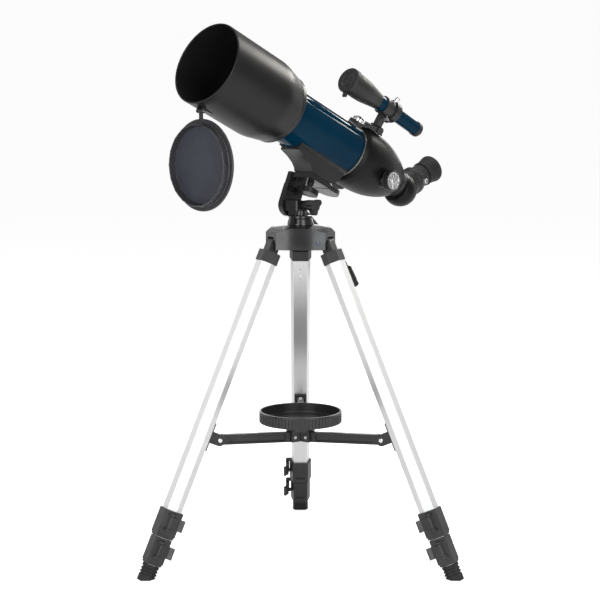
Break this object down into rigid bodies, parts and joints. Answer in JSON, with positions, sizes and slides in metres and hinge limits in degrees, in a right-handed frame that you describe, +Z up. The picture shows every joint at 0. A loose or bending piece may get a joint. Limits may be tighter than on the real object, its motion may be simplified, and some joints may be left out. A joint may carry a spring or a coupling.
{
  "type": "telescope on tripod",
  "caption": "Small refracting telescope with finder, star diagonal and hanging dust cap on a folding aluminium tripod with accessory tray, pan and tilt head and sliding legs.",
  "frame": {"origin": "on the floor under the middle of the bounding box", "axes": "+Z up; +X to the right and -Y towards the side the open front of the tube half faces, with the tube raised 24 degrees"},
  "size_m": [0.4062, 0.3922, 0.678],
  "materials": {
    "crown_black": "moulded, glossy",
    "turned_black": "polished",
    "steel": "plain",
    "clamp_black": "satin",
    "rubber_pad": "matt",
    "screw_dark": "satin with bright edges",
    "handle_steel": "semi-gloss black",
    "grip_black": "knurled",
    "tube_navy": "high gloss dark blue",
    "shield_black": "satin black",
    "optical_glass": "coated",
    "trim_grey": "satin grey",
    "housing_black": "satin black",
    "drawtube_chrome": "plated",
    "knob_black": "ribbed rim",
    "eyecup_rubber": "matt",
    "finder_dark": "satin",
    "shoe_grey": "satin",
    "chrome": "polished",
    "cap_grey": "satin",
    "tray_black": "satin, ribbed wall",
    "fitting_black": "satin",
    "leg_aluminium": "anodised satin",
    "leg_aluminium_inner": "anodised, with black plastic ends"
  },
  "bodies": {
    "tripod_crown": {"hub": "crown_black", "leg_pins": "steel", "neck": "turned_black"},
    "pan_head": {"pan_block": "crown_black", "tilt_bolt": "steel", "handle_rod": "handle_steel", "handle_grip": "grip_black"},
    "tube_assembly": {"platform": "crown_black", "platform_pad": "rubber_pad", "saddle": "clamp_black", "main_tube": "tube_navy", "dew_shield": "shield_black", "lens_cell": "shield_black", "objective": "optical_glass", "trim_ring": "trim_grey", "focuser_body": "housing_black", "finder_shoe": "shoe_grey", "finder_bracket": "housing_black", "finder_body": "finder_dark", "finder_tube": "tube_navy", "finder_screws": "chrome"},
    "tilt_knob_body": {"tilt_knob": "clamp_black"},
    "mount_screw_body": {"mount_screw": "screw_dark"},
    "drawtube_body": {"drawtube": "drawtube_chrome"},
    "focus_shaft": {"pinion": "steel", "focus_knobs": "knob_black"},
    "diagonal_body": {"diagonal": "housing_black", "prism": "optical_glass"},
    "eyepiece_body": {"eyepiece": "housing_black", "eyepiece_lenses": "optical_glass", "eyecup": "eyecup_rubber"},
    "finder_cap_body": {"finder_cap": "finder_dark"},
    "dust_cap_body": {"dust_cap": "cap_grey"},
    "spreader_body": {"spreader": "clamp_black", "spreader_pins": "steel", "tray": "tray_black"},
    "leg_1_body": {"leg_1_fittings": "fitting_black", "leg_1_upper_tube": "leg_aluminium", "leg_1_upper_lock": "fitting_black"},
    "leg_1_upper_lever_body": {"leg_1_upper_lever": "fitting_black"},
    "leg_1_middle_body": {"leg_1_middle": "leg_aluminium_inner"},
    "leg_1_lower_lever_body": {"leg_1_lower_lever": "fitting_black"},
    "leg_1_lower_body": {"leg_1_lower": "leg_aluminium_inner"},
    "strut_1_body": {"strut_1": "fitting_black"},
    "leg_2_body": {"leg_2_fittings": "fitting_black", "leg_2_upper_tube": "leg_aluminium", "leg_2_upper_lock": "fitting_black"},
    "leg_2_upper_lever_body": {"leg_2_upper_lever": "fitting_black"},
    "leg_2_middle_body": {"leg_2_middle": "leg_aluminium_inner"},
    "leg_2_lower_lever_body": {"leg_2_lower_lever": "fitting_black"},
    "leg_2_lower_body": {"leg_2_lower": "leg_aluminium_inner"},
    "strut_2_body": {"strut_2": "fitting_black"},
    "leg_3_body": {"leg_3_fittings": "fitting_black", "leg_3_upper_tube": "leg_aluminium", "leg_3_upper_lock": "fitting_black"},
    "leg_3_upper_lever_body": {"leg_3_upper_lever": "fitting_black"},
    "leg_3_middle_body": {"leg_3_middle": "leg_aluminium_inner"},
    "leg_3_lower_lever_body": {"leg_3_lower_lever": "fitting_black"},
    "leg_3_lower_body": {"leg_3_lower": "leg_aluminium_inner"},
    "strut_3_body": {"strut_3": "fitting_black"}
  },
  "joints": [
    {"name": "pan", "type": "hinge", "parent": "tripod_crown", "child": "pan_head", "pos_m": [0, -0.03497, 0.4433], "axis": [0, 0, 1], "continuous": true},
    {"name": "tilt", "type": "hinge", "parent": "pan_head", "child": "tube_assembly", "pos_m": [0, -0.03497, 0.4563], "axis": [-0.7124, 0.7018, 0], "range_deg": [-45, 30]},
    {"name": "tilt_knob_turn", "type": "hinge", "parent": "pan_head", "child": "tilt_knob_body", "pos_m": [0.01425, -0.04901, 0.4563], "axis": [0.7124, -0.7018, 0], "range_deg": [0, 360]},
    {"name": "mount_screw_turn", "type": "hinge", "parent": "tube_assembly", "child": "mount_screw_body", "pos_m": [0.00953, -0.0253, 0.47305], "axis": [0.2822, 0.2865, 0.9156], "continuous": true},
    {"name": "focus_turn", "type": "hinge", "parent": "tube_assembly", "child": "focus_shaft", "pos_m": [0.08646, 0.0528, 0.48541], "axis": [-0.7124, 0.7018, 0], "range_deg": [0, 503]},
    {"name": "drawtube_slide", "type": "slide", "parent": "tube_assembly", "child": "drawtube_body", "axis": [0.6425, 0.6523, -0.4021], "range_m": [0, 0.035]},
    {"name": "diagonal_turn", "type": "hinge", "parent": "drawtube_body", "child": "diagonal_body", "pos_m": [0.13935, 0.10648, 0.47373], "axis": [0.6425, 0.6523, -0.4021], "range_deg": [-90, 90]},
    {"name": "eyepiece_pull", "type": "slide", "parent": "diagonal_body", "child": "eyepiece_body", "axis": [0.6539, 0.6638, 0.3631], "range_m": [0, 0.03]},
    {"name": "finder_cap_pull", "type": "slide", "parent": "tube_assembly", "child": "finder_cap_body", "axis": [-0.6425, -0.6523, 0.4021], "range_m": [0, 0.03]},
    {"name": "dust_cap_swing", "type": "hinge", "parent": "tube_assembly", "child": "dust_cap_body", "pos_m": [-0.11839, -0.15515, 0.57429], "axis": [-0.7124, 0.7018, 0], "range_deg": [-25, 60]},
    {"name": "leg_1_fold", "type": "hinge", "parent": "tripod_crown", "child": "leg_1_body", "pos_m": [-0.03412, -0.05467, 0.4097], "axis": [0.5, -0.866, 0], "range_deg": [0, 8]},
    {"name": "leg_1_middle_slide", "type": "slide", "parent": "leg_1_body", "child": "leg_1_middle_body", "axis": [-0.3509, -0.2026, -0.9142], "range_m": [0, 0.24]},
    {"name": "leg_1_lower_slide", "type": "slide", "parent": "leg_1_middle_body", "child": "leg_1_lower_body", "axis": [-0.3509, -0.2026, -0.9142], "range_m": [0, 0.24]},
    {"name": "leg_1_upper_lever_flip", "type": "hinge", "parent": "leg_1_body", "child": "leg_1_upper_lever_body", "pos_m": [-0.16024, -0.14897, 0.07173], "axis": [-0.3509, -0.2026, -0.9142], "range_deg": [0, 100]},
    {"name": "leg_1_lower_lever_flip", "type": "hinge", "parent": "leg_1_middle_body", "child": "leg_1_lower_lever_body", "pos_m": [-0.1728, -0.15622, 0.039], "axis": [-0.3509, -0.2026, -0.9142], "range_deg": [0, 100]},
    {"name": "strut_1_swing", "type": "hinge", "parent": "spreader_body", "child": "strut_1_body", "pos_m": [-0.01039, -0.04097, 0.15663], "axis": [0.5, -0.866, 0], "range_deg": [0, 54.05]},
    {"name": "leg_2_fold", "type": "hinge", "parent": "tripod_crown", "child": "leg_2_body", "pos_m": [0.03412, -0.05467, 0.4097], "axis": [0.5, 0.866, 0], "range_deg": [0, 8.01]},
    {"name": "leg_2_middle_slide", "type": "slide", "parent": "leg_2_body", "child": "leg_2_middle_body", "axis": [0.3509, -0.2026, -0.9142], "range_m": [0, 0.24]},
    {"name": "leg_2_lower_slide", "type": "slide", "parent": "leg_2_middle_body", "child": "leg_2_lower_body", "axis": [0.3509, -0.2026, -0.9142], "range_m": [0, 0.24]},
    {"name": "leg_2_upper_lever_flip", "type": "hinge", "parent": "leg_2_body", "child": "leg_2_upper_lever_body", "pos_m": [0.16024, -0.14897, 0.07173], "axis": [-0.3509, 0.2026, 0.9142], "range_deg": [0, 100]},
    {"name": "leg_2_lower_lever_flip", "type": "hinge", "parent": "leg_2_middle_body", "child": "leg_2_lower_lever_body", "pos_m": [0.1728, -0.15622, 0.039], "axis": [-0.3509, 0.2026, 0.9142], "range_deg": [0, 100]},
    {"name": "strut_2_swing", "type": "hinge", "parent": "spreader_body", "child": "strut_2_body", "pos_m": [0.01039, -0.04097, 0.15663], "axis": [0.5, 0.866, 0], "range_deg": [0, 54.05]},
    {"name": "leg_3_fold", "type": "hinge", "parent": "tripod_crown", "child": "leg_3_body", "pos_m": [0, 0.00443, 0.4097], "axis": [-1, 0, 0], "range_deg": [0, 8.01]},
    {"name": "leg_3_middle_slide", "type": "slide", "parent": "leg_3_body", "child": "leg_3_middle_body", "axis": [0, 0.4052, -0.9142], "range_m": [0, 0.24]},
    {"name": "leg_3_lower_slide", "type": "slide", "parent": "leg_3_middle_body", "child": "leg_3_lower_body", "axis": [0, 0.4052, -0.9142], "range_m": [0, 0.24]},
    {"name": "leg_3_upper_lever_flip", "type": "hinge", "parent": "leg_3_body", "child": "leg_3_upper_lever_body", "pos_m": [-0.0186, 0.16079, 0.07173], "axis": [0, 0.4052, -0.9142], "range_deg": [0, 100]},
    {"name": "leg_3_lower_lever_flip", "type": "hinge", "parent": "leg_3_middle_body", "child": "leg_3_lower_lever_body", "pos_m": [-0.0186, 0.1753, 0.039], "axis": [0, 0.4052, -0.9142], "range_deg": [0, 100]},
    {"name": "strut_3_swing", "type": "hinge", "parent": "spreader_body", "child": "strut_3_body", "pos_m": [0, -0.02297, 0.15663], "axis": [-1, 0, 0], "range_deg": [0, 54.05]},
    {"name": "spreader_rise", "type": "slide", "parent": "tripod_crown", "child": "spreader_body", "axis": [0, 0, 1], "range_m": [0, 0.0796]}
  ],
  "couplings": [
    {"joint": "focus_turn", "follows": "drawtube_slide", "rad_per_m": 250},
    {"joint": "strut_1_swing", "follows": "leg_1_fold", "ratio": 6.75},
    {"joint": "strut_2_swing", "follows": "leg_1_fold", "ratio": 6.75},
    {"joint": "leg_2_fold", "follows": "leg_1_fold", "ratio": 1},
    {"joint": "strut_3_swing", "follows": "leg_1_fold", "ratio": 6.75},
    {"joint": "leg_3_fold", "follows": "leg_1_fold", "ratio": 1},
    {"joint": "spreader_rise", "follows": "leg_1_fold", "m_per_rad": 0.56938}
  ]
}
